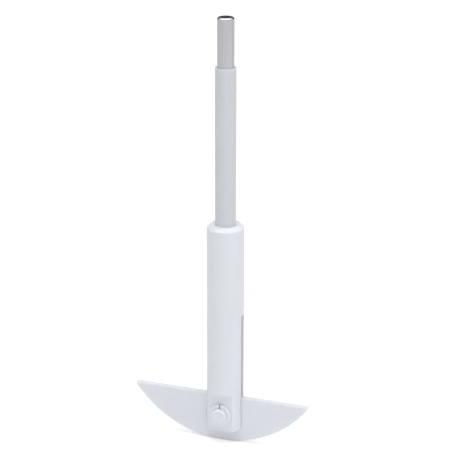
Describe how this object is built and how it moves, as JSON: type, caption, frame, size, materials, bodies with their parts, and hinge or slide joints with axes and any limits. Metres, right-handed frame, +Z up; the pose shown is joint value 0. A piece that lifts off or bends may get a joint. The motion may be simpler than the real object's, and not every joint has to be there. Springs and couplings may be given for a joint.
{
  "type": "ptfe stirrer shaft",
  "caption": "Overhead stirrer shaft: a steel rod in a white PTFE sleeve, with a slotted hub and a half-moon blade that folds up along the shaft on a pin.",
  "frame": {"origin": "on the shaft's axis, at the shoulder where the PTFE sleeve starts below the bare chuck end", "axes": "+Z up the shaft, towards the chuck end; X along the blade's straight edge, the longer half on -X; Y along the pin, the split ring on -Y"},
  "size_m": [0.0902, 0.0192, 0.2118],
  "materials": {
    "steel_rod": "fine ground",
    "ptfe_tube": "smooth satin",
    "ptfe_turned": "fine turned satin",
    "ptfe_sheet": "skived satin"
  },
  "bodies": {
    "shaft": {"core_rod": "steel_rod", "shaft_sleeve": "ptfe_tube", "blade_hub": "ptfe_turned", "pivot_pin": "ptfe_turned", "retaining_ring": "ptfe_turned"},
    "blade": {"crescent_blade": "ptfe_sheet"}
  },
  "joints": [
    {"name": "blade_fold", "type": "hinge", "parent": "shaft", "child": "blade", "pos_m": [0, 0, -0.17247], "axis": [0, 1, 0], "range_deg": [-90, 90]}
  ]
}
